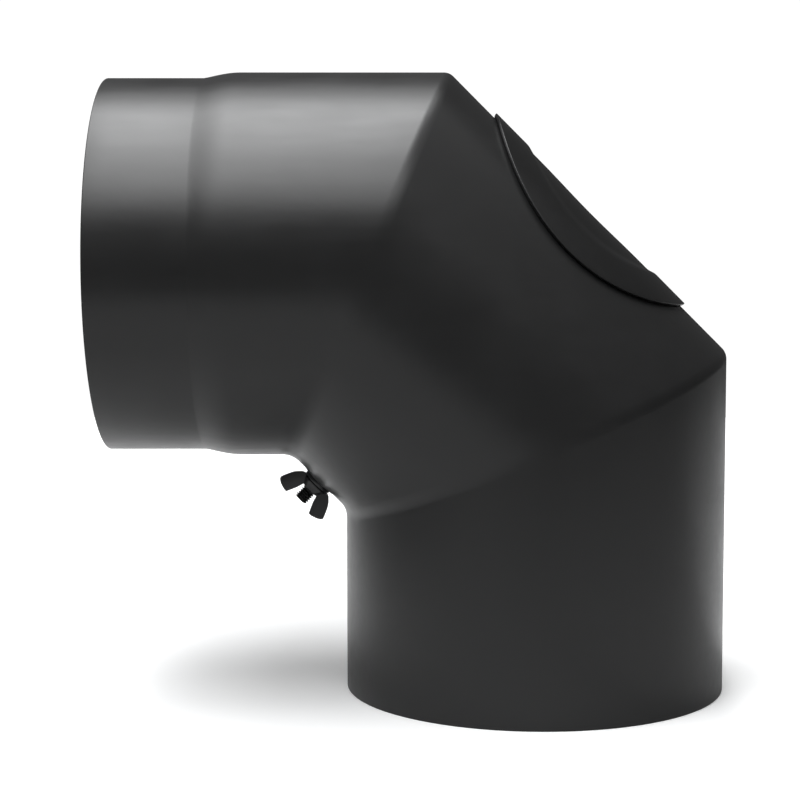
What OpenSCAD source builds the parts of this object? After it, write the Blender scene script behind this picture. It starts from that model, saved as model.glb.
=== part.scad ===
// Stove pipe elbow with a cleaning door. Sheet steel pipe that turns 90
// degrees in two mitres. The bottom leg is the socket and stands on its rim,
// the side leg ends in a spigot that slips into the next socket. The door is
// a round lid, bent to the pipe and pressed in at its middle, on the outer
// side of the middle segment. A threaded rod, welded under it, crosses the
// flue and leaves through a pressed boss in the throat, where a washer and a
// wing nut hold it.
// Frame: the origin is the centre of the bottom rim, +Z runs up the bottom
// leg, the side leg points along -X and Y is the width.

/* [Pipe] */
// Outside diameter of the pipe
pipe_od = 154; // [100:1:220]
// Thickness of the pipe wall
wall = 2; // [1:0.1:3]

/* [Elbow] */
// Length of the bottom leg on its throat side
socket_len = 73.8; // [40:0.1:150]
// Length of the middle segment on its throat side
throat_len = 31; // [29:0.5:60]
// Length of the full-width pipe on the throat side of the side leg
side_run = 19.6; // [12:0.1:80]
// Bend radius of the mitres on the outer crown, at half the wall
crown_round = 4; // [2.5:0.5:8]
// Bend radius of the mitres in the throat, at half the wall
throat_round = 10.5; // [6:0.5:14]

/* [Spigot] */
// Straight length of the spigot
spigot_len = 38.5; // [20:0.5:60]
// Radial play of the spigot in the next socket
spigot_play = 0.25; // [0.1:0.05:1]
// Length of the soft step between the pipe and the spigot
step_len = 15; // [8:0.5:25]

/* [Door] */
// Diameter of the door's blank, before it is bent to the pipe
door_d = 106.6; // [96:0.2:115]
// Thickness of the door's sheet
door_t = 1.8; // [1:0.1:3]
// Play between the door's rim and the pipe
door_play = 0.15; // [0.12:0.01:0.4]
// Length of the pressed pan along the pipe
pan_len = 73.4; // [50:0.2:76]
// Width of the pressed pan round the pipe
pan_width = 80; // [50:0.2:82]
// Depth of the pressed pan
pan_depth = 1; // [0.5:0.1:3]
// Extra depth of the pan at its centre
pan_dish = 0.5; // [0.1:0.1:1.5]
// Width of the sloped edge of the pan
pan_slope = 3.5; // [2:0.5:8]
// Play round the pan in the door opening
opening_play = 1.6; // [1:0.1:4]

/* [Fastening] */
// Diameter of the threaded rod
rod_d = 6; // [4:0.5:8]
// Radial play of the rod in the pipe's hole
rod_play = 0.3; // [0.1:0.05:1]
// Length of the rod that stands out of the wing nut
stub_len = 5.3; // [1:0.1:12]
// Diameter of the weld at the foot of the rod
weld_d = 11; // [9:0.5:14]
// Height of the weld at the foot of the rod
weld_h = 2.5; // [1:0.5:5]
// Diameter of the pressed boss at its foot
boss_d = 22.4; // [21:0.1:26]
// Diameter of the flat seat on the boss
seat_d = 14.6; // [13.5:0.1:17]
// Height of the boss
boss_h = 0.4; // [0.2:0.1:2]
// Diameter of the washer
washer_d = 12.5; // [10:0.1:13]
// Thickness of the washer
washer_t = 1.6; // [0.8:0.1:3]
// Radial play of the washer on the rod
washer_play = 0.2; // [0.1:0.05:0.5]
// Play between faces that are clamped together
seat_play = 0.05; // [0.03:0.01:0.2]

/* [Wing nut] */
// Diameter of the nut at its foot
nut_d = 11; // [9.5:0.1:13]
// Diameter of the nut at its top
nut_top_d = 7.8; // [7.4:0.1:9.5]
// Height of the nut
nut_h = 3.85; // [2.5:0.05:8]
// Radial play of the nut on the rod
nut_play = 0.05; // [0.03:0.01:0.1]
// Width of the nut across both wings
wing_span = 24.4; // [20:0.1:32]
// Height of the wings above the nut's foot
wing_h = 11.1; // [8:0.1:14]
// Thickness of the wings
wing_t = 2; // [1:0.1:3]

/* [Hidden] */
$fn = 96;

// Turn of the pipe at each of its two mitres
turn = 45;
mitre = tan(turn / 2);
pipe_r = pipe_od / 2;
bore_r = pipe_r - wall;

// Distance of each mitre's centre from the point where the legs' axes cross
set_back = (throat_len + 2 * pipe_r * mitre) / sqrt(2);
rise = socket_len + pipe_r * mitre + set_back;
reach = spigot_len + step_len + side_run + pipe_r * mitre + set_back;

// How far a cut runs past what it cuts, and how far pieces of one solid lap
overrun = 1;
lap = 4;
// How far the bend stands round the legs that it meets
skin = 0.005;

// Sections round the bend, steps in each fillet and steps in a soft step
bend_n = 96;
fillet_n = 5;
step_n = 10;

// The straight lap on each leg starts below the widest fillet
fillet_run = (throat_round + wall) * mitre;
bend_z = socket_len - fillet_run - lap;
bend_x = -(set_back + pipe_r * mitre + fillet_run + lap);

// The spigot goes into a socket of this same pipe
spigot_r = bore_r - spigot_play;

// Radii of the door's faces from the axis of the middle segment
door_under = pipe_r + door_play;
door_top = door_under + door_t;
door_mid = door_under + door_t / 2;
pan_under = door_under - pan_depth - pan_dish;
door_n = 80;
floor_n = 7;
slope_n = 4;
rim_n = 4;

// Places along the rod, measured from the middle segment's axis
rod_r = rod_d / 2;
rod_hole_r = rod_r + rod_play;
boss_top = pipe_r + boss_h;
boss_foot = sqrt(pow(pipe_r, 2) - pow(boss_d / 2, 2));
washer_at = boss_top + seat_play;
nut_at = washer_at + washer_t + seat_play;
stub_at = nut_at + nut_h + stub_len;
weld_play = 0.05;
rod_chamfer = 0.5;
nut_chamfer = 0.5;

// Lean of the soft step: 1 is even, less starts it sharper at the spigot
step_lean = 0.7;

// Outline of one wing, as shares of half the span and of the wings' height
wing_shares = [
    [0.49, 0.01], [0.60, 0.05], [0.66, 0.105], [0.76, 0.22], [0.83, 0.33],
    [0.88, 0.44], [0.925, 0.55], [0.965, 0.65], [1.00, 0.76], [0.985, 0.81],
    [0.95, 0.85], [0.88, 0.90], [0.79, 0.945], [0.69, 0.98], [0.605, 1.00],
    [0.535, 0.99], [0.46, 0.83], [0.41, 0.705], [0.37, 0.60], [0.30, 0.345]
];

// Soft rise from 0 to 1 while t goes from 0 to 1
function soft(t) = let (s = min(1, max(0, t))) s * s * (3 - 2 * s);

// Bend radius at angle a round the pipe, 0 at the crown, for a face that
// lies d outside the middle of the wall
function round_at(a, d) =
    crown_round + (throat_round - crown_round) * sin(a / 2) + d * cos(a);

// Fillet of radius r on a corner p of a line that leaves direction th and
// turns left by one mitre's turn
function fillet(p, th, r) =
    let (c = p - r * mitre * [-sin(th), cos(th)] - r * [cos(th), sin(th)])
    [for (i = [0 : fillet_n])
        let (b = th + turn * i / fillet_n) c + r * [cos(b), sin(b)]];

// Line along the bend at angle a and radius r, as [x, z] points
function bend_line(r, a, d) =
    let (w = r * cos(a), q = round_at(a, d))
    concat(
        [[w, bend_z]],
        fillet([w, rise - set_back + w * mitre], 0, q),
        fillet([-set_back + w * mitre, rise + w], turn, q),
        [[bend_x, rise + w]]
    );

// Puts children, drawn round +Z, on the axis of the side leg with +Z
// pointing away from its rim
module from_side_rim() {
    translate([-reach, 0, rise]) rotate([0, 90, 0]) children();
}

// Puts children, drawn round +Z, on the rod's axis with +Z out of the
// crown and z = 0 on the middle segment's axis
module on_rod_axis() {
    translate([-set_back / 2, 0, rise - set_back / 2])
        rotate([0, turn, 0]) children();
}

// The two mitres and the middle segment as a solid, d inside the pipe's face
module bend(d) {
    r = (pipe_r - d) / cos(180 / bend_n) + skin;
    lines = [for (i = [0 : bend_n - 1])
        bend_line(r, 360 * i / bend_n, wall / 2 - d)];
    m = len(lines[0]);
    points = [for (j = [0 : m - 1], i = [0 : bend_n - 1])
        [lines[i][j][0], r * sin(360 * i / bend_n), lines[i][j][1]]];
    sides = [for (j = [0 : m - 2], i = [0 : bend_n - 1])
        let (k = (i + 1) % bend_n, p = j * bend_n, q = p + bend_n)
        [p + i, q + i, q + k, p + k]];
    bottom = [for (i = [0 : bend_n - 1]) i];
    top = [for (i = [bend_n - 1 : -1 : 0]) (m - 1) * bend_n + i];
    polyhedron(points = points, faces = concat(sides, [bottom, top]), convexity = 6);
}

// Straight bottom leg as a solid, d inside the pipe's face
module socket_leg(d, past) {
    translate([0, 0, -past])
        cylinder(r = pipe_r - d, h = bend_z + lap / 2 + past);
}

// Side leg with its soft step and spigot as a solid, d inside their face
module spigot_leg(d, past) {
    steps = [for (i = [0 : step_n]) let (t = i / step_n)
        [spigot_r + (pipe_r - spigot_r) * soft(pow(t, step_lean)) - d,
            spigot_len + step_len * t]];
    end = reach + bend_x + lap / 2;
    from_side_rim() rotate_extrude() polygon(concat(
        [[0, -past], [spigot_r - d, -past]], steps, [[pipe_r - d, end], [0, end]]));
}

// The whole elbow as a solid, d inside the pipe's face: its outer form when
// d is 0, and its flue when d is the wall
module elbow_form(d, past) {
    socket_leg(d, past);
    bend(d);
    spigot_leg(d, past);
}

// Slope of the boss, from its seat down to its foot on the pipe's side,
// lowered by d and with its foot drawn in by e
function boss_slope(d, e) = [for (i = [0 : step_n]) let (t = i / step_n)
    [seat_d / 2 + (boss_d / 2 - e - seat_d / 2) * t,
     boss_top - (boss_top - boss_foot) * soft(t) - d]];

// Boss in the throat, and the hollow that its pressing leaves inside
module boss() {
    foot = sqrt(pow(pipe_r - wall / 2, 2) - pow(boss_d / 2, 2));
    on_rod_axis() mirror([0, 0, 1]) rotate_extrude() polygon(concat(
        [[0, boss_top]], boss_slope(0, 0), [[boss_d / 2, foot], [0, foot]]));
}
module boss_hollow() {
    foot = bore_r - wall;
    on_rod_axis() mirror([0, 0, 1]) rotate_extrude() polygon(concat(
        [[0, boss_top - wall]], boss_slope(wall, wall),
        [[boss_d / 2 - wall, foot], [0, foot]]));
}

// Half width of an oval blank, a along and b round the pipe, towards angle t
function oval(a, b, t) = 1 / sqrt(pow(cos(t) / a, 2) + pow(sin(t) / b, 2));

// Opening under the door: the oval round the pan, with its play
module door_opening() {
    a = pan_len / 2 + opening_play;
    b = pan_width / 2 + opening_play;
    on_rod_axis() linear_extrude(height = door_top) polygon(
        [for (i = [0 : door_n - 1])
            let (t = 360 * i / door_n, s = oval(a, b, t) * sin(t))
            [-oval(a, b, t) * cos(t), pipe_r * sin(s / pipe_r * 180 / PI)]]);
}

module elbow_shell() {
    color([0.13, 0.13, 0.13]) difference() {
        union() {
            elbow_form(0, 0);
            boss();
        }
        elbow_form(wall, overrun);
        boss_hollow();
        door_opening();
        on_rod_axis() translate([0, 0, -boss_top - overrun])
            cylinder(r = rod_hole_r, h = boss_top - bore_r + wall + 2 * overrun);
    }
}

// Half widths of the blank's rings towards angle t, from the centre out
function ring_reach(t) =
    let (edge = oval(pan_len / 2, pan_width / 2, t),
         flat = oval(pan_len / 2 - pan_slope, pan_width / 2 - pan_slope, t))
    concat(
        [for (i = [1 : floor_n]) flat * i / floor_n],
        [for (i = [1 : slope_n]) flat + (edge - flat) * i / slope_n],
        [for (i = [1 : rim_n]) edge + (door_d / 2 - edge) * i / rim_n]
    );

// How deep the pan lies at a distance s from the centre, towards angle t
function pan_at(s, t) =
    let (edge = oval(pan_len / 2, pan_width / 2, t),
         flat = oval(pan_len / 2 - pan_slope, pan_width / 2 - pan_slope, t))
    pan_depth * soft((edge - s) / (edge - flat))
        + pan_dish * max(0, 1 - pow(s / flat, 2));

// Point of the door on a face of radius r, bent round the pipe
function door_point(s, t, r) =
    let (f = s * sin(t) / door_mid * 180 / PI, q = r - pan_at(s, t))
    [-s * cos(t), q * sin(f), q * cos(f)];

module door_lid() {
    angles = [for (i = [0 : door_n - 1]) 360 * i / door_n];
    reaches = [for (t = angles) ring_reach(t)];
    rings = len(reaches[0]);
    function sheet(r) = concat([[0, 0, r - pan_depth - pan_dish]],
        [for (j = [0 : rings - 1]) each
            [for (i = [0 : door_n - 1]) door_point(reaches[i][j], angles[i], r)]]);
    under = 1 + rings * door_n;
    rim = 1 + (rings - 1) * door_n;
    faces = [for (i = [0 : door_n - 1]) let (k = (i + 1) % door_n) each concat(
        [[0, 1 + i, 1 + k], [under, under + 1 + k, under + 1 + i]],
        [for (j = [0 : rings - 2]) let (p = 1 + j * door_n, q = p + door_n)
            [p + i, q + i, q + k, p + k]],
        [for (j = [0 : rings - 2]) let (p = under + 1 + j * door_n, q = p + door_n)
            [p + k, q + k, q + i, p + i]],
        [[rim + k, rim + i, under + rim + i, under + rim + k]]
    )];
    color([0.15, 0.15, 0.15]) on_rod_axis()
        polyhedron(points = concat(sheet(door_top), sheet(door_under)),
            faces = faces, convexity = 6);
}

// Threaded rod with the weld that joins it to the door
module tension_rod() {
    foot = pan_under - weld_play;
    color([0.17, 0.17, 0.17]) on_rod_axis() intersection() {
        union() {
            translate([0, 0, rod_chamfer - stub_at])
                cylinder(r = rod_r, h = stub_at - rod_chamfer + foot);
            translate([0, 0, -stub_at])
                cylinder(r1 = rod_r - rod_chamfer, r2 = rod_r, h = rod_chamfer);
            translate([0, 0, foot - weld_h])
                cylinder(r1 = rod_r, r2 = weld_d / 2, h = weld_h);
        }
        union() {
            rotate([0, 90, 0]) cylinder(r = foot, h = weld_d + overrun, center = true);
            translate([0, 0, -stub_at - overrun])
                cylinder(r = weld_d, h = stub_at + overrun);
        }
    }
}

module flat_washer() {
    color([0.16, 0.16, 0.16]) on_rod_axis()
        translate([0, 0, -washer_at - washer_t]) difference() {
            cylinder(d = washer_d, h = washer_t);
            translate([0, 0, -overrun])
                cylinder(r = rod_r + washer_play, h = washer_t + 2 * overrun);
        }
}

// Both wings in one plate, which the nut's bore then parts
module wings() {
    side = [for (p = wing_shares) [p[0] * wing_span / 2, p[1] * wing_h]];
    other = [for (i = [len(side) - 1 : -1 : 0]) [-side[i][0], side[i][1]]];
    rotate([90, 0, 0]) linear_extrude(height = wing_t, center = true)
        polygon(concat(side, other));
}

module wing_nut() {
    color([0.16, 0.16, 0.16]) on_rod_axis() mirror([0, 0, 1])
        translate([0, 0, nut_at]) difference() {
            union() {
                rotate_extrude() polygon([
                    [0, 0], [nut_d / 2 - nut_chamfer, 0], [nut_d / 2, nut_chamfer],
                    [nut_top_d / 2, nut_h - nut_chamfer],
                    [nut_top_d / 2 - nut_chamfer, nut_h], [0, nut_h]]);
                wings();
            }
            translate([0, 0, -overrun])
                cylinder(r = rod_r + nut_play, h = nut_h + wing_h);
        }
}

elbow_shell();
door_lid();
tension_rod();
flat_washer();
wing_nut();
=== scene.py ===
"""Stove pipe elbow with a cleaning door: the finished surfaces, the studio and the camera.

Sizes are in millimetres and become metres where a mesh is made. The frame is the part's own: the
origin is the centre of the socket's rim, +Z runs up the bottom leg and the side leg points along -X.
"""
import math

import bmesh
import bpy
import numpy as np
from mathutils import Matrix, Vector

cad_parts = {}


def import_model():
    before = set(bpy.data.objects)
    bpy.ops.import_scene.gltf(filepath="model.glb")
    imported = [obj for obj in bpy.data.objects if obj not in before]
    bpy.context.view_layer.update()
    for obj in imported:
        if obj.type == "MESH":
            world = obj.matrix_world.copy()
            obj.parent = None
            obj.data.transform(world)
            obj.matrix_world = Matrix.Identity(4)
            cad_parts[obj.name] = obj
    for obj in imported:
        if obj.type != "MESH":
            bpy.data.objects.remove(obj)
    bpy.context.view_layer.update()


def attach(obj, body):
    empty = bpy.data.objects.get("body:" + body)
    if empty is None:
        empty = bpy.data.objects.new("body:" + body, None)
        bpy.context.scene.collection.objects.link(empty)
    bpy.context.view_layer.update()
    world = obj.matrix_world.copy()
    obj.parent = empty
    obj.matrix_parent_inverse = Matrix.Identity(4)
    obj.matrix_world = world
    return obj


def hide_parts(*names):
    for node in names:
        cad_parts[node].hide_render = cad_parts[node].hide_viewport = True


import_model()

MM = 0.001

# Pipe and elbow
PIPE_R = 77.0
WALL = 2.0
SOCKET_LEN = 73.8
THROAT_LEN = 31.0
SIDE_RUN = 19.6
CROWN_ROUND = 4.0
THROAT_ROUND = 10.5
SPIGOT_LEN = 38.5
STEP_LEN = 15.0
STEP_LEAN = 0.7
SPIGOT_PLAY = 0.25
SPIGOT_R = PIPE_R - WALL - SPIGOT_PLAY
RIM_ROUND = 0.45
LEAST_BEND = 0.5   # the smallest fillet of a mitre, on either face of the wall

TURN = math.radians(45)
MITRE = math.tan(TURN / 2)
SET_BACK = (THROAT_LEN + 2 * PIPE_R * MITRE) / math.sqrt(2)
RISE = SOCKET_LEN + PIPE_R * MITRE + SET_BACK
REACH = SPIGOT_LEN + STEP_LEN + SIDE_RUN + PIPE_R * MITRE + SET_BACK

# Rings of points on each stretch of the elbow, from the socket to the spigot
SOCKET_RINGS, MITRE_RINGS, MIDDLE_RINGS, SIDE_RINGS, STEP_RINGS, SPIGOT_RINGS = 8, 12, 44, 6, 24, 5

# Door
# Half of its size along the pipe and round it, and how far its ends and its sides lie down the pipe
DOOR_HALF = (54.0, 56.5)
DOOR_ENDS = -0.5
DOOR_SIDES = 1.5
DOOR_T = 1.8
DOOR_PLAY = 0.15
DOOR_UNDER = PIPE_R + DOOR_PLAY
DOOR_TOP = DOOR_UNDER + DOOR_T
DOOR_MID = DOOR_UNDER + DOOR_T / 2
DOOR_EDGE_TOP = 0.2    # radius of its edge above
DOOR_EDGE_LOW = 1.35   # and below
# Rings of points on the pan's middle, on its slope and on the rim round it
FLAT_RINGS, SLOPE_RINGS, LID_RIM_RINGS = 15, 18, 11
# Half sizes of the pan's outer edge, of its flat middle and of the opening, along the pipe and round it
PAN_HALF = (37.7, 43.0)
PAN_FLAT = (32.2, 31.5)
OPENING_HALF = (38.3, 41.6)
PAN_DEPTH = 1.0
PAN_DISH = 0.5
OPENING_FOOT = 5.0      # where the opening's cutter starts, above the middle segment's axis
CUT_OVERRUN = 5.0       # how far it runs past the door
ROD_CUT_OVERRUN = 8.0   # how far the rod hole's cutter runs past the pipe's face on both sides

# Rod, boss, washer and wing nut
ROD_R = 3.0
PITCH = 1.0
THREAD_DEPTH = 0.75
FLANK_SLOPE = 2.3     # share of the thread's depth that a flank gains in one pitch
ROOT_FLAT = 0.1       # share of the depth taken off again, which leaves the thread's root flat
ROD_CHAMFER = 0.5
CHAMFER_SLOPE = 0.8   # radius gained for each mm along the rod
ROD_HOLE_R = 3.3
WELD_R = 5.5
WELD_H = 2.5
WELD_PLAY = 0.05
WELD_INSIDE = 0.8     # how far the bead's mesh goes into the rod
BOSS_R = 11.2
SEAT_R = 7.3
BOSS_H = 0.4
SEAT_PLAY = 0.05
WASHER_R = 6.25
WASHER_T = 1.6
WASHER_HOLE_R = 3.2
WASHER_EDGE = 0.5
NUT_R = 5.5
NUT_TOP_R = 3.9
NUT_H = 3.85
NUT_BORE_R = 3.05
HUB_FACE = 0.8        # the hub is pressed flat in front and behind, at this share of its radius
HUB_FACE_FROM = 0.3   # the flats start this far inside the hub's upper radius
STUB_LEN = 5.55
WING_SPAN = 24.4
WING_H = 11.1
WING_T = 2.0
WING_EDGE = 0.6
WING_FOOT = 0.25      # how near the wings come to the bore

WASHER_AT = PIPE_R + BOSS_H + SEAT_PLAY
NUT_AT = WASHER_AT + WASHER_T + SEAT_PLAY
STUB_AT = NUT_AT + NUT_H + STUB_LEN
ROD_FOOT = DOOR_UNDER - PAN_DEPTH - PAN_DISH - WELD_PLAY

# Outline of one wing from the hub's foot round to its top, as shares of half
# the span and of the wings' height. Two points close together keep a corner.
WING_SHARES = [
    (0.49, 0.01), (0.60, 0.05), (0.66, 0.105), (0.76, 0.22), (0.83, 0.33), (0.88, 0.44), (0.925, 0.55),
    (0.965, 0.65), (1.00, 0.76), (1.00, 0.765), (0.98, 0.82), (0.95, 0.85), (0.88, 0.90), (0.79, 0.945),
    (0.69, 0.98), (0.60, 1.00), (0.53, 0.995), (0.525, 0.985), (0.46, 0.83), (0.41, 0.705), (0.37, 0.60),
    (0.30, 0.345),
]

# The rod's axis: U runs along the middle segment, N out of its crown
MIDDLE = np.array([-SET_BACK / 2, 0.0, RISE - SET_BACK / 2])
U = np.array([1.0, 0.0, -1.0]) / math.sqrt(2)
V = np.array([0.0, 1.0, 0.0])
N = np.array([1.0, 0.0, 1.0]) / math.sqrt(2)


CREASE = math.radians(35)   # edges sharper than this stay sharp in the shading


def soft(t):
    """Soft rise from 0 to 1 while t goes from 0 to 1."""
    t = np.clip(t, 0.0, 1.0)
    return t * t * (3 - 2 * t)


def softer(t):
    """The same rise with softer ends."""
    t = np.clip(t, 0.0, 1.0)
    return t ** 3 * (10 - 15 * t + 6 * t * t)


def shares(count):
    """Even shares of a stretch from 0 on, without its end."""
    return np.linspace(0, 1, count + 1)[:-1]


def shares_to_end(count):
    """Even shares of a stretch up to 1, without its start."""
    return np.linspace(0, 1, count + 1)[1:]


def circle(count):
    """Even angles round a full turn."""
    return np.linspace(0, 2 * math.pi, count, endpoint=False)


def on_rod_axis(points):
    """Points given along U, V and N become points of the part."""
    points = np.asarray(points, dtype=float)
    return MIDDLE + points @ np.array([U, V, N])


def smooth_shading(mesh):
    """Smooth shading with the creases kept."""
    mesh.shade_smooth()
    mesh.set_sharp_from_angle(angle=CREASE)


def mesh_object(name, points, faces, material):
    """A shaded object from points in millimetres."""
    mesh = bpy.data.meshes.new(name)
    mesh.from_pydata((np.asarray(points) * MM).tolist(), [], faces)
    mesh.validate()
    work = bmesh.new()
    work.from_mesh(mesh)
    bmesh.ops.recalc_face_normals(work, faces=work.faces)
    work.to_mesh(mesh)
    work.free()
    smooth_shading(mesh)
    mesh.materials.append(material)
    piece = bpy.data.objects.new(name, mesh)
    bpy.context.scene.collection.objects.link(piece)
    return piece


def grid_faces(rows, columns, closed_rows=False):
    """Quads of a grid that closes round its columns, and round its rows if asked."""
    last = rows if closed_rows else rows - 1
    faces = []
    for j in range(last):
        p, q = j * columns, (j + 1) % rows * columns
        for i in range(columns):
            k = (i + 1) % columns
            faces.append((p + i, p + k, q + k, q + i))
    return faces


def lathe(profile, columns):
    """Points and faces of a closed profile of (radius, height) turned round the rod's axis."""
    profile = np.asarray(profile, dtype=float)
    angle = circle(columns)
    points = np.stack([
        np.outer(profile[:, 0], np.cos(angle)),
        np.outer(profile[:, 0], np.sin(angle)),
        np.outer(profile[:, 1], np.ones(columns)),
    ], axis=-1).reshape(-1, 3)
    return points, grid_faces(len(profile), columns, closed_rows=True)


def capped(rows, columns):
    """Faces of a tube of rings with flat ends."""
    faces = grid_faces(rows, columns)
    faces.append(tuple(range(columns)))
    faces.append(tuple(range((rows - 1) * columns, rows * columns)))
    return faces


def prism(name, along, across, levels, material):
    """An outline given along and across the middle segment, run from one level to the other."""
    rings = [np.stack([along, across, np.full_like(along, level)], axis=-1) for level in levels]
    points = on_rod_axis(np.concatenate(rings))
    return mesh_object(name, points, capped(len(levels), len(along)), material)


def cut(piece, cutter):
    """Takes the cutter out of the piece and keeps the result as the piece's mesh."""
    modifier = piece.modifiers.new("cut", "BOOLEAN")
    modifier.operation = "DIFFERENCE"
    modifier.solver = "EXACT"
    modifier.object = cutter
    depsgraph = bpy.context.evaluated_depsgraph_get()
    result = bpy.data.meshes.new_from_object(piece.evaluated_get(depsgraph))
    piece.modifiers.clear()
    piece.data = result
    bpy.data.objects.remove(cutter, do_unlink=True)


# Materials


def new_material(name):
    """A material, its node tree and its shader."""
    material = bpy.data.materials.new(name)
    material.use_nodes = True
    tree = material.node_tree
    return material, tree, tree.nodes["Principled BSDF"]


def noise(tree, place, scale, detail, rough=0.5):
    """Fractal noise with features 1/scale metres wide."""
    made = tree.nodes.new("ShaderNodeTexNoise")
    made.inputs["Scale"].default_value = scale
    made.inputs["Detail"].default_value = detail
    made.inputs["Roughness"].default_value = rough
    tree.links.new(place, made.inputs["Vector"])
    return made.outputs["Fac"]


def ramp(tree, value, ends, results=(0.0, 1.0)):
    """A straight rise or fall between two ends, held beyond them."""
    made = tree.nodes.new("ShaderNodeMapRange")
    for name, number in zip(("From Min", "From Max", "To Min", "To Max"), (*ends, *results)):
        made.inputs[name].default_value = number
    tree.links.new(value, made.inputs["Value"])
    return made.outputs["Result"]


def math_node(tree, operation, a, b):
    """The result of one operation on two sockets, or on a socket and a number."""
    made = tree.nodes.new("ShaderNodeMath")
    made.operation = operation
    for socket, value in zip(made.inputs, (a, b)):
        if isinstance(value, (int, float)):
            socket.default_value = value
        else:
            tree.links.new(value, socket)
    return made.outputs[0]


def mottle(tree, shader, share, tone, factors, cast):
    """The base colour: it goes between two factors of a tone, with a slight blue cast."""
    shade = tree.nodes.new("ShaderNodeMixRGB")
    for name, factor in zip(("Color1", "Color2"), factors):
        shade.inputs[name].default_value = (tone * factor, tone * factor, tone * (factor + cast), 1)
    tree.links.new(share, shade.inputs["Fac"])
    tree.links.new(shade.outputs["Color"], shader.inputs["Base Color"])


def rough_skin(tree, shader, height, strength, distance):
    """The surface's relief, from a height map."""
    bump = tree.nodes.new("ShaderNodeBump")
    bump.inputs["Strength"].default_value = strength
    bump.inputs["Distance"].default_value = distance
    tree.links.new(height, bump.inputs["Height"])
    tree.links.new(bump.outputs["Normal"], shader.inputs["Normal"])


# Stove paint: features per metre of its clouds of gloss, spray grain, fine
# grain, streaks and dust nibs, and how far clouds and streaks move the gloss
PAINT_CLOUDS, PAINT_SPRAY, PAINT_GRAIN, PAINT_STREAKS, PAINT_NIBS = 45, 380, 1100, 260, 75
STREAK_STRETCH = (0.12, 1.0, 1.0)   # the streaks are drawn out along the side leg
NIB_SIZE = 0.022                    # in a nib's own cell, which is one wide
CLOUD_GLOSS, STREAK_GLOSS = 0.024, 0.018
# Fractal noise stays mostly between these values
NOISE_ENDS = (0.3, 0.7)


def stove_paint(name, tone=0.015, gloss=0.32):
    """Satin black stove paint: a fine grain, faint clouds and streaks of gloss, and a few dust nibs."""
    material, tree, shader = new_material(name)
    place = tree.nodes.new("ShaderNodeTexCoord").outputs["Object"]
    cloud = noise(tree, place, PAINT_CLOUDS, detail=4)
    spray = noise(tree, place, PAINT_SPRAY, detail=2)
    fine = noise(tree, place, PAINT_GRAIN, detail=1)
    drawn = tree.nodes.new("ShaderNodeVectorMath")
    drawn.operation = "MULTIPLY"
    drawn.inputs[1].default_value = STREAK_STRETCH
    tree.links.new(place, drawn.inputs[0])
    streak = noise(tree, drawn.outputs["Vector"], PAINT_STREAKS, detail=2)
    spots = tree.nodes.new("ShaderNodeTexVoronoi")
    spots.inputs["Scale"].default_value = PAINT_NIBS
    tree.links.new(place, spots.inputs["Vector"])
    nib = ramp(tree, spots.outputs["Distance"], (0.0, NIB_SIZE), (1.0, 0.0))

    mixed = math_node(tree, "MULTIPLY", math_node(tree, "ADD", cloud, fine), 0.5)
    mottle(tree, shader, mixed, tone, factors=(0.88, 1.12), cast=0.01)

    rough = ramp(tree, cloud, NOISE_ENDS, (gloss - CLOUD_GLOSS, gloss + CLOUD_GLOSS))
    rough = math_node(tree, "ADD", rough, ramp(tree, streak, NOISE_ENDS, (-STREAK_GLOSS, STREAK_GLOSS)))
    tree.links.new(rough, shader.inputs["Roughness"])

    height = math_node(tree, "MULTIPLY", spray, 0.6)
    for layer, share in ((fine, 0.1), (streak, 0.15), (nib, 0.3)):
        height = math_node(tree, "ADD", height, math_node(tree, "MULTIPLY", layer, share))
    rough_skin(tree, shader, height, strength=0.13, distance=0.0002)
    shader.inputs["IOR"].default_value = 1.5
    return material


# The fasteners' steel: features per metre of its mottle and its grain
STEEL_CLOUDS, STEEL_GRAIN = 260, 3000


def black_steel(name, tone=0.02, gloss=0.42):
    """Black-finished steel of the fasteners, with a mottled, slightly worn coat."""
    material, tree, shader = new_material(name)
    place = tree.nodes.new("ShaderNodeTexCoord").outputs["Object"]
    cloud = noise(tree, place, STEEL_CLOUDS, detail=4)
    fine = noise(tree, place, STEEL_GRAIN, detail=3, rough=0.6)
    mottle(tree, shader, cloud, tone, factors=(0.8, 1.3), cast=0.02)
    tree.links.new(ramp(tree, cloud, NOISE_ENDS, (gloss - 0.07, gloss + 0.07)), shader.inputs["Roughness"])
    rough_skin(tree, shader, fine, strength=0.25, distance=0.0001)
    shader.inputs["IOR"].default_value = 1.6
    return material


# The elbow's shell

SHELL_ANGLES = np.radians(np.concatenate([
    np.arange(0, 166, 2.0), np.arange(166, 194, 0.5), np.arange(194, 360, 2.0)]))


def corner_lines(d):
    """Offset from the pipe's axis and fillet radius, at each angle, on a face d inside the pipe's face."""
    w = (PIPE_R - d) * np.cos(SHELL_ANGLES)
    bend = (CROWN_ROUND + (THROAT_ROUND - CROWN_ROUND) * np.sin(SHELL_ANGLES / 2)
            + (WALL / 2 - d) * np.cos(SHELL_ANGLES))
    return w, np.maximum(bend, LEAST_BEND)


def ring(x, z, radius):
    """One ring of points: x and z at each angle, and y from the radius."""
    y = radius * np.sin(SHELL_ANGLES)
    return np.stack([x + 0 * y, y, z + 0 * y], axis=-1)


def fillet_ring(corner_x, corner_z, start, bend, share, radius):
    """A ring on a mitre's fillet, at a share of its turn from the direction start."""
    run = bend * MITRE
    centre_x = corner_x + run * math.sin(start) - bend * math.cos(start)
    centre_z = corner_z - run * math.cos(start) - bend * math.sin(start)
    angle = start + TURN * share
    return ring(centre_x + bend * math.cos(angle), centre_z + bend * math.sin(angle), radius)


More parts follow.
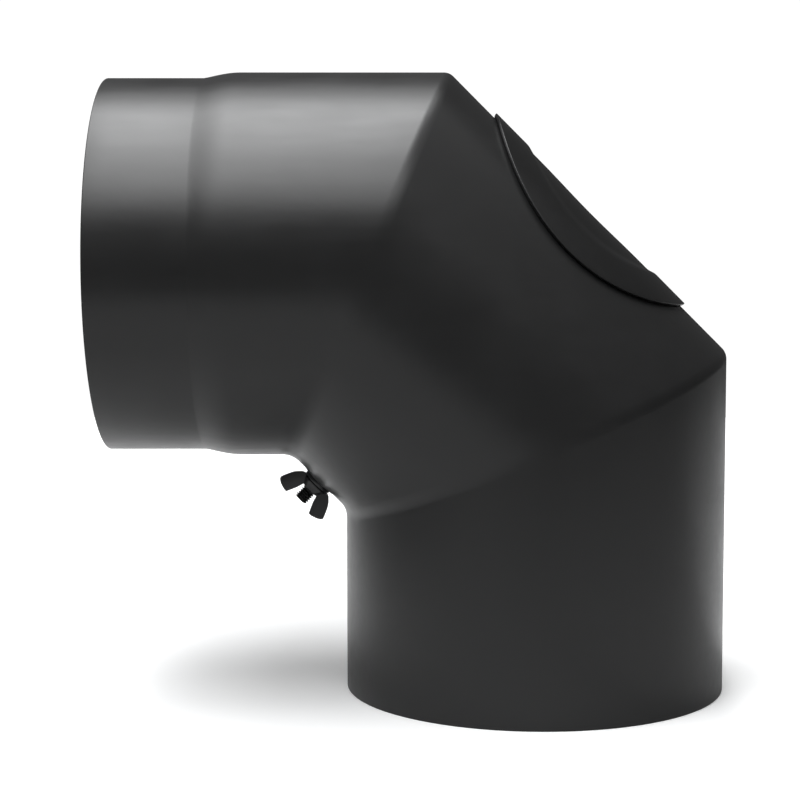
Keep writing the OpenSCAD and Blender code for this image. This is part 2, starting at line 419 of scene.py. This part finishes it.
def elbow_rings(d):
    """Rings along one face of the wall, from just inside the socket's rim to the spigot's."""
    w, bend = corner_lines(d)
    radius = PIPE_R - d
    low_x, low_z = w, RISE - SET_BACK + w * MITRE
    high_x, high_z = -SET_BACK + w * MITRE, RISE + w
    run = bend * MITRE
    slope = run / math.sqrt(2)
    rings = []
    for f in shares(SOCKET_RINGS):
        rings.append(ring(w, RIM_ROUND + (low_z - run - RIM_ROUND) * f, radius))
    for f in shares(MITRE_RINGS):
        rings.append(fillet_ring(low_x, low_z, 0.0, bend, f, radius))
    start_x, start_z = low_x - slope, low_z + slope
    end_x, end_z = high_x + slope, high_z - slope
    for f in shares(MIDDLE_RINGS):
        rings.append(ring(start_x + (end_x - start_x) * f, start_z + (end_z - start_z) * f, radius))
    for f in shares(MITRE_RINGS):
        rings.append(fillet_ring(high_x, high_z, TURN, bend, f, radius))
    step_x = -(REACH - SPIGOT_LEN - STEP_LEN)
    start_x = high_x - run
    for f in shares(SIDE_RINGS):
        rings.append(ring(start_x + (step_x - start_x) * f, high_z, radius))
    for f in shares(STEP_RINGS):
        r = SPIGOT_R + (PIPE_R - SPIGOT_R) * soft((1 - f) ** STEP_LEAN) - d
        rings.append(ring(step_x - STEP_LEN * f, RISE + r * np.cos(SHELL_ANGLES), r))
    for f in np.linspace(0, 1, SPIGOT_RINGS + 1):
        x = -(REACH - SPIGOT_LEN) - (SPIGOT_LEN - RIM_ROUND) * f
        rings.append(ring(x, RISE + (SPIGOT_R - d) * np.cos(SHELL_ANGLES), SPIGOT_R - d))
    return rings


def press_boss(points, d):
    """Presses the throat out into a flat seat round the rod, on a face d inside the pipe's face."""
    local = points - MIDDLE
    along, out = local @ U, local @ N
    distance = np.hypot(along, local[..., 1])
    share = np.where(out < 0, soft((BOSS_R - distance) / (BOSS_R - SEAT_R)), 0.0)
    seat = -(PIPE_R + BOSS_H - d)
    return points + (share * (seat - out))[..., None] * N


def rim_steps():
    """Radial and outward shares of a cut edge, rounded at both sides, from the outer face inwards."""
    quarter = np.radians(np.linspace(0, 90, 5))[1:]
    outer = [(RIM_ROUND * (1 - math.cos(t)), RIM_ROUND * math.sin(t)) for t in quarter]
    inner = [(WALL - RIM_ROUND * (1 - math.sin(t)), RIM_ROUND * math.cos(t)) for t in quarter]
    return outer + [(WALL / 2, RIM_ROUND)] + [(WALL - RIM_ROUND, RIM_ROUND)] + inner[:-1]


def elbow_shell(material):
    """The whole pipe as one closed sheet, with its pressed boss, the door's opening and the rod's hole."""
    outer = [press_boss(r, 0.0) for r in elbow_rings(0.0)]
    inner = [press_boss(r, WALL) for r in elbow_rings(WALL)]
    spigot_rim, socket_rim = [], []
    for depth, reach in rim_steps():
        r = SPIGOT_R - depth
        spigot_rim.append(ring(-REACH + RIM_ROUND - reach, RISE + r * np.cos(SHELL_ANGLES), r))
        r = PIPE_R - depth
        socket_rim.append(ring(r * np.cos(SHELL_ANGLES), RIM_ROUND - reach, r))
    rings = outer + spigot_rim + inner[::-1] + socket_rim[::-1]
    faces = grid_faces(len(rings), len(SHELL_ANGLES), closed_rows=True)
    shell = mesh_object("elbow_pipe", np.concatenate(rings), faces, material)
    cut(shell, opening_cutter(material))
    cut(shell, rod_cutter(material))
    smooth_shading(shell.data)
    return shell


def opening_cutter(material):
    """The oval round the door's pan, as a prism along the rod's axis."""
    angle = circle(160)
    reach = oval(OPENING_HALF, angle)
    along = reach * np.cos(angle)
    across = PIPE_R * np.sin(reach * np.sin(angle) / PIPE_R)
    return prism("opening_cutter", along, across, (OPENING_FOOT, DOOR_TOP + CUT_OVERRUN), material)


def rod_cutter(material):
    """The rod's hole through the boss."""
    angle = circle(64)
    levels = (-(PIPE_R - ROD_CUT_OVERRUN), -(PIPE_R + ROD_CUT_OVERRUN))
    return prism("rod_cutter", ROD_HOLE_R * np.cos(angle), ROD_HOLE_R * np.sin(angle), levels, material)


# The door


def oval(half, angle):
    """How far an oval reaches towards an angle, from its half sizes along and round the pipe."""
    along, across = half
    return 1 / np.sqrt((np.cos(angle) / along) ** 2 + (np.sin(angle) / across) ** 2)


def pan_at(distance, angle):
    """How deep the pan lies at a distance from the door's centre, towards an angle."""
    edge, flat = oval(PAN_HALF, angle), oval(PAN_FLAT, angle)
    middle = np.maximum(0, 1 - (distance / flat) ** 2)
    return PAN_DEPTH * softer((edge - distance) / (edge - flat)) + PAN_DISH * middle ** 3


def door_lid(material):
    """The blank, pressed in and bent to the pipe, with a small edge above and a large one below."""
    angle = circle(240)
    edge, flat, rim = oval(PAN_HALF, angle), oval(PAN_FLAT, angle), oval(DOOR_HALF, angle)

    def rings(reach, radius):
        """Rings of the face at a radius, from the middle out to a reach."""
        reaches = [flat * f for f in shares_to_end(FLAT_RINGS)]
        reaches += [flat + (edge - flat) * f for f in shares_to_end(SLOPE_RINGS)]
        reaches += [edge + (reach - edge) * f for f in shares_to_end(LID_RIM_RINGS)]
        return [bent(r, radius) for r in reaches]

    def bent(distance, radius):
        """One ring at a distance from the middle, pressed in and bent round the pipe."""
        turn = distance * np.sin(angle) / DOOR_MID
        level = radius - pan_at(distance, angle)
        shift = DOOR_ENDS + (DOOR_SIDES - DOOR_ENDS) * np.sin(angle) ** 2
        along = distance * np.cos(angle) + shift * soft((distance - edge) / (rim - edge))
        return np.stack([along, level * np.sin(turn), level * np.cos(turn)], axis=-1)

    quarter = np.radians(np.linspace(0, 90, 7))
    edge_rings = []
    for t in quarter[1:]:
        inset, drop = DOOR_EDGE_TOP * (1 - math.sin(t)), DOOR_EDGE_TOP * (1 - math.cos(t))
        edge_rings.append(bent(rim - inset, DOOR_TOP - drop))
    for t in quarter[:-1]:
        inset, climb = DOOR_EDGE_LOW * (1 - math.cos(t)), DOOR_EDGE_LOW * (1 - math.sin(t))
        edge_rings.append(bent(rim - inset, DOOR_UNDER + climb))
    top_rings = rings(rim - DOOR_EDGE_TOP, DOOR_TOP)
    under_rings = rings(rim - DOOR_EDGE_LOW, DOOR_UNDER)
    rows = top_rings + edge_rings + under_rings[::-1]
    sink = PAN_DEPTH + PAN_DISH
    points = np.concatenate(rows + [np.array([[0, 0, DOOR_TOP - sink], [0, 0, DOOR_UNDER - sink]])])
    columns = len(angle)
    faces = grid_faces(len(rows), columns)
    top, under = len(points) - 2, len(points) - 1
    last = (len(rows) - 1) * columns
    for i in range(columns):
        k = (i + 1) % columns
        faces.append((top, i, k))
        faces.append((under, last + k, last + i))
    return mesh_object("door_cover", on_rod_axis(points), faces, material)


# Rod, washer and wing nut


def threaded_rod(material):
    """The rod with its rolled thread, from the weld under the door to the chamfered end."""
    columns, per_turn = 48, 8
    rows = int((STUB_AT + ROD_FOOT) / PITCH * per_turn)
    height = np.linspace(-STUB_AT, ROD_FOOT, rows)
    z, turn = np.meshgrid(height, circle(columns), indexing="ij")
    phase = (z / PITCH - turn / (2 * math.pi)) % 1.0
    tooth = np.clip(np.abs(phase - 0.5) * FLANK_SLOPE - ROOT_FLAT, 0, 1)
    radius = ROD_R - THREAD_DEPTH * (1 - tooth)
    radius = np.minimum(radius, ROD_R - ROD_CHAMFER + CHAMFER_SLOPE * (z + STUB_AT))
    points = np.stack([radius * np.cos(turn), radius * np.sin(turn), z], axis=-1).reshape(-1, 3)
    return mesh_object("threaded_rod", on_rod_axis(points), capped(rows, columns), material)


def weld_bead(material):
    """The weld round the rod's foot, with the slight waves of a hand-laid bead."""
    inside = ROD_R - WELD_INSIDE
    profile = [(inside, ROD_FOOT), (WELD_R, ROD_FOOT), (WELD_R * 0.93, ROD_FOOT - WELD_H * 0.3),
               (WELD_R * 0.8, ROD_FOOT - WELD_H * 0.62), (ROD_R + 0.4, ROD_FOOT - WELD_H * 0.9),
               (inside, ROD_FOOT - WELD_H)]
    points, faces = lathe(profile, 72)
    angle = np.arctan2(points[:, 1], points[:, 0])
    wave = 1 + 0.03 * np.sin(angle * 11) + 0.02 * np.sin(angle * 5 + 1)
    points[:, :2] *= wave[:, None]
    top = points[:, 2] > ROD_FOOT - 0.01
    points[:, 2] -= np.where(top, points[:, 1] ** 2 / (2 * ROD_FOOT), 0)   # follows the door's bend
    return mesh_object("weld_bead", on_rod_axis(points), faces, material)


def rounded_ring(inner, outer, low, high, edge, steps=4):
    """Profile of a ring with rounded corners, as (radius, height)."""
    profile = []
    corners = [(outer - edge, low + edge, -90), (outer - edge, high - edge, 0),
               (inner + edge, high - edge, 90), (inner + edge, low + edge, 180)]
    for r, h, start in corners:
        for t in np.radians(np.linspace(start, start + 90, steps + 1)):
            profile.append((r + edge * math.cos(t), h + edge * math.sin(t)))
    return profile


def washer(material):
    """The flat washer between the boss and the nut."""
    profile = rounded_ring(WASHER_HOLE_R, WASHER_R, -WASHER_AT - WASHER_T, -WASHER_AT, WASHER_EDGE)
    points, faces = lathe(profile, 96)
    return mesh_object("washer_ring", on_rod_axis(points), faces, material)


def smooth_loop(points, steps=4):
    """A closed curve through the points, with steps points on each span."""
    p = np.asarray(points, dtype=float)
    before, after, later = np.roll(p, 1, axis=0), np.roll(p, -1, axis=0), np.roll(p, -2, axis=0)
    curve = []
    for t in np.linspace(0, 1, steps, endpoint=False):
        curve.append(0.5 * (2 * p + (after - before) * t + (2 * before - 5 * p + 4 * after - later) * t ** 2
                            + (3 * p - before - 3 * after + later) * t ** 3))
    return np.stack(curve, axis=1).reshape(-1, 2)


def wing_plate(side, material):
    """One wing: its outline, extruded to its thickness with rounded edges."""
    outline = [(a * WING_SPAN / 2, b * WING_H) for a, b in WING_SHARES]
    foot = NUT_BORE_R + WING_FOOT
    outline = smooth_loop(outline + [(foot, NUT_H * 0.9), (foot, NUT_H * 0.25)])
    work = bmesh.new()
    verts = [work.verts.new((side * x, -WING_T / 2, -(NUT_AT + h))) for x, h in outline]
    face = work.faces.new(verts)
    made = bmesh.ops.extrude_face_region(work, geom=[face])
    moved = [v for v in made["geom"] if isinstance(v, bmesh.types.BMVert)]
    bmesh.ops.translate(work, verts=moved, vec=(0, WING_T, 0))
    flat = [e for e in work.edges if abs(e.verts[0].co.y - e.verts[1].co.y) < 1e-6]
    bmesh.ops.bevel(work, geom=flat, offset=WING_EDGE, segments=4, profile=0.5, affect="EDGES",
                    clamp_overlap=True)
    bmesh.ops.recalc_face_normals(work, faces=work.faces)
    points = on_rod_axis([v.co for v in work.verts])
    work.verts.index_update()
    faces = [tuple(v.index for v in f.verts) for f in work.faces]
    work.free()
    return mesh_object("wing", points, faces, material)


def wing_nut(material):
    """Hub and both wings of the wing nut, as one piece."""
    top, low = -(NUT_AT + NUT_H), -NUT_AT
    # From the bore along the foot's face, up the rounded foot and the tapered
    # side, over the top's rounded edge and back down the chamfered bore
    profile = [
        (NUT_BORE_R + 0.3, low), (NUT_R - 0.85, low), (NUT_R - 0.35, low - 0.2), (NUT_R - 0.05, low - 0.5),
        (NUT_R, low - 0.8), (NUT_R - 0.25, low - 1.3),
        (NUT_TOP_R + 0.12, top + 0.7), (NUT_TOP_R, top + 0.35), (NUT_TOP_R - 0.15, top + 0.1),
        (NUT_TOP_R - 0.4, top), (NUT_BORE_R + 0.35, top), (NUT_BORE_R, top + 0.4), (NUT_BORE_R, low - 0.3),
    ]
    points, faces = lathe(profile, 96)
    reach = np.hypot(points[:, 0], points[:, 1])
    pressed = np.maximum(HUB_FACE * reach, NUT_BORE_R + WING_FOOT)
    face = np.where(reach > NUT_TOP_R - HUB_FACE_FROM, pressed, reach)
    points[:, 1] = np.clip(points[:, 1], -face, face)
    hub = mesh_object("wing_nut_body", on_rod_axis(points), faces, material)
    for side in (-1, 1):
        join(hub, wing_plate(side, material))
    return hub


def join(piece, other):
    """Adds the other object's mesh to the piece."""
    work = bmesh.new()
    work.from_mesh(piece.data)
    work.from_mesh(other.data)
    work.to_mesh(piece.data)
    work.free()
    smooth_shading(piece.data)
    bpy.data.objects.remove(other, do_unlink=True)


# Camera

CAMERA_AT = (-44.98, -808.46, 199.41)
CAMERA_PITCH = 0.0919
CAMERA_YAW = 0.0018
CAMERA_ROLL = -0.0001
CAMERA_LENS = 89.56
CAMERA_SENSOR = 36
CAMERA_SHIFT = (-0.0358, -0.0227)


def camera():
    """The photograph's camera, fitted to the part's outline: it looks along +Y and slightly down."""
    pitch, yaw, roll = CAMERA_PITCH, CAMERA_YAW, CAMERA_ROLL
    ahead = Vector((math.sin(yaw) * math.cos(pitch), math.cos(yaw) * math.cos(pitch), -math.sin(pitch)))
    right = Vector((math.cos(yaw), -math.sin(yaw), 0))
    down = ahead.cross(right)
    turned = right * math.cos(roll) + down * math.sin(roll)
    up = -(down * math.cos(roll) - right * math.sin(roll))
    data = bpy.data.cameras.new("camera")
    data.lens = CAMERA_LENS
    data.sensor_width = CAMERA_SENSOR
    data.shift_x, data.shift_y = CAMERA_SHIFT
    made = bpy.data.objects.new("camera", data)
    facing = Matrix((turned, up, -ahead)).transposed().to_4x4()
    made.matrix_world = Matrix.Translation(Vector(CAMERA_AT) * MM) @ facing
    bpy.context.scene.collection.objects.link(made)
    bpy.context.scene.camera = made


# Studio, in metres

WORLD_SEEN = 1.05   # the surroundings as the camera sees them
ROOM = 0.07         # and as the part reflects them

FLOOR_LOW, FLOOR_HIGH = (-0.45, -0.60), (1.0, 1.00)
FLOOR_SEEN = 0.95    # the floor's grey as the camera sees it
# The floor's grey in reflections is painted shade and light: darkest in front, lightest in the zones under
# the side leg and behind.
FLOOR_PAINTED_SHADE = 0.385   # its darkest grey as the part reflects it
FLOOR_PAINTED_LIGHT = 0.75     # and its lightest
FLOOR_LIFT = 0.12    # light added to it for the camera alone
FLOOR_BURNT = 0.7    # the same at its far edge, so that it ends without a line
FLOOR_GLOW = 0.09    # light that it gives off on the part's right
FLOOR_RIGHT = 0.10   # more of it for the camera alone

# Its painted light zone under the side leg and in front of it, a lighter grey in reflections: where the
# zone fades in and out
UNDER_LEFT, UNDER_RIGHT, UNDER_FRONT = (-0.32, -0.20), (0.00, 0.06), (-0.18, 0.05)
# Its painted light zone behind the part, and how much of it is left on the far left
BEHIND_LEFT, BEHIND_FAR, BEHIND_FRONT, BEHIND_REST = (-0.36, -0.20), (0.28, 0.42), (0.04, 0.06), 0.2
# Where the lift rises to the far edge, and where the right side's glow begins
BURNT_ENDS, RIGHT_ENDS = (0.25, 1.0), (0.070, 0.085)

# The long soft light over the part, brightest over the elbow and cut off on
# its right: each panel's left, right, front and back edge, and its radiance
LIGHT_AT = 1.35
LIGHT_GAP = 0.002   # the panels overlap, so each hangs a little over the one before
LIGHT_TINT = (0.985, 0.993, 1.0)
PANELS = [
    (-1.15, 0.10, -1.80, 0.95, 1.3),
    (-1.02, 0.08, -1.50, 0.55, 2.5),
    (-0.60, 0.06, -1.00, 0.40, 2.2),
    (-0.42, 0.04, -0.45, 0.28, 2.6),
    (0.10, 1.20, -1.80, 0.70, 0.5),
    (0.10, 0.60, -1.80, -0.90, 2.2),
    (0.10, 0.45, 0.00, 0.50, 1.6),
]


def table_white(name):
    """The matt floor: burnt out to the camera, as in the photograph, and greyer in reflections, where its
    grey is painted shade and light, dark in front and lighter under the side leg and behind.
    """
    material, tree, shader = new_material(name)
    shader.inputs["Roughness"].default_value = 1.0
    shader.inputs["Specular IOR Level"].default_value = 0.0
    shader.inputs["Emission Color"].default_value = (1, 1, 1, 1)
    eye = tree.nodes.new("ShaderNodeLightPath").outputs["Is Camera Ray"]
    place = tree.nodes.new("ShaderNodeSeparateXYZ")
    tree.links.new(tree.nodes.new("ShaderNodeTexCoord").outputs["Object"], place.inputs["Vector"])
    x, y = place.outputs["X"], place.outputs["Y"]

    under = math_node(tree, "MULTIPLY", ramp(tree, x, UNDER_LEFT), ramp(tree, x, UNDER_RIGHT, (1.0, 0.0)))
    under = math_node(tree, "MULTIPLY", under, ramp(tree, y, UNDER_FRONT))
    beside = ramp(tree, x, BEHIND_LEFT, (BEHIND_REST, 1.0))
    behind = math_node(tree, "MAXIMUM", beside, ramp(tree, y, BEHIND_FAR))
    behind = math_node(tree, "MULTIPLY", behind, ramp(tree, y, BEHIND_FRONT))
    share = math_node(tree, "MAXIMUM", under, behind)
    # Painted shade and light: the grey that the part reflects goes from the darkest in front to the
    # lightest in the zones, in place of how much light falls there.
    reflected_painted_shade = ramp(tree, share, (0.0, 1.0), (FLOOR_PAINTED_SHADE, FLOOR_PAINTED_LIGHT))
    more = math_node(tree, "MULTIPLY", math_node(tree, "SUBTRACT", FLOOR_SEEN, reflected_painted_shade), eye)
    tree.links.new(math_node(tree, "ADD", reflected_painted_shade, more), shader.inputs["Base Color"])

    right = ramp(tree, x, RIGHT_ENDS)
    burnt = ramp(tree, y, BURNT_ENDS, (FLOOR_LIFT, FLOOR_BURNT))
    burnt = math_node(tree, "ADD", burnt, math_node(tree, "MULTIPLY", right, FLOOR_RIGHT))
    glow = math_node(tree, "MULTIPLY", right, FLOOR_GLOW)
    lift = math_node(tree, "ADD", math_node(tree, "MULTIPLY", burnt, eye), glow)
    tree.links.new(lift, shader.inputs["Emission Strength"])
    return material


def floor():
    """The table that the part stands on."""
    (left, front), (right, back) = FLOOR_LOW, FLOOR_HIGH
    mesh = bpy.data.meshes.new("table_top")
    corners = [(left, front, 0), (right, front, 0), (right, back, 0), (left, back, 0)]
    mesh.from_pydata(corners, [], [(0, 1, 2, 3)])
    mesh.materials.append(table_white("table_top"))
    made = bpy.data.objects.new("table_top", mesh)
    bpy.context.scene.collection.objects.link(made)


def softbox(name, middle, size, radiance):
    """A soft light over the part, facing down, with the radiance of its surface."""
    data = bpy.data.lights.new(name, "AREA")
    data.shape = "RECTANGLE"
    data.size, data.size_y = size
    data.energy = radiance * math.pi * size[0] * size[1]
    data.color = LIGHT_TINT
    made = bpy.data.objects.new(name, data)
    made.location = middle
    bpy.context.scene.collection.objects.link(made)


def white_light(tree, strength):
    """White light of one strength from all round."""
    made = tree.nodes.new("ShaderNodeBackground")
    made.inputs["Color"].default_value = (1, 1, 1, 1)
    made.inputs["Strength"].default_value = strength
    return made.outputs["Background"]


def world():
    """White to the camera, and the dark of a studio in reflections."""
    made = bpy.data.worlds.new("studio")
    made.use_nodes = True
    tree = made.node_tree
    tree.nodes.clear()
    path = tree.nodes.new("ShaderNodeLightPath")
    mix = tree.nodes.new("ShaderNodeMixShader")
    out = tree.nodes.new("ShaderNodeOutputWorld")
    tree.links.new(path.outputs["Is Camera Ray"], mix.inputs["Fac"])
    tree.links.new(white_light(tree, ROOM), mix.inputs[1])
    tree.links.new(white_light(tree, WORLD_SEEN), mix.inputs[2])
    tree.links.new(mix.outputs["Shader"], out.inputs["Surface"])
    bpy.context.scene.world = made


def studio():
    """Surroundings, floor and lights."""
    world()
    floor()
    for k, (left, right, front, back, radiance) in enumerate(PANELS):
        middle = ((left + right) / 2, (front + back) / 2, LIGHT_AT + LIGHT_GAP * k)
        softbox("softbox_%d" % (k + 1), middle, (right - left, back - front), radiance)
    bpy.context.scene.view_settings.view_transform = "Standard"


def build():
    """Every visible piece, with the body it rides on, the node it stands for and its material slot."""
    pipe_paint = stove_paint("stove_paint_pipe")
    # The door's paint is the pipe's paint with a darker tone: painted shade that darkens the lid.
    door_paint = stove_paint("stove_paint_door_painted_shade", tone=0.009)
    steel = black_steel("black_steel")
    pieces = [
        (elbow_shell(pipe_paint), "elbow", "elbow_shell", "pipe_paint"),
        (door_lid(door_paint), "door", "door_lid", "door_paint"),
        (threaded_rod(steel), "door", "tension_rod", "rod_steel"),
        (washer(black_steel("black_steel_washer")), "elbow", "flat_washer", "washer_steel"),
        (wing_nut(black_steel("black_steel_nut")), "nut", "wing_nut", "nut_steel"),
    ]
    for piece, body, node, slot in pieces:
        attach(piece, body)
        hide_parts(node)
    weld = weld_bead(steel)
    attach(weld, "door")


build()
camera()
studio()
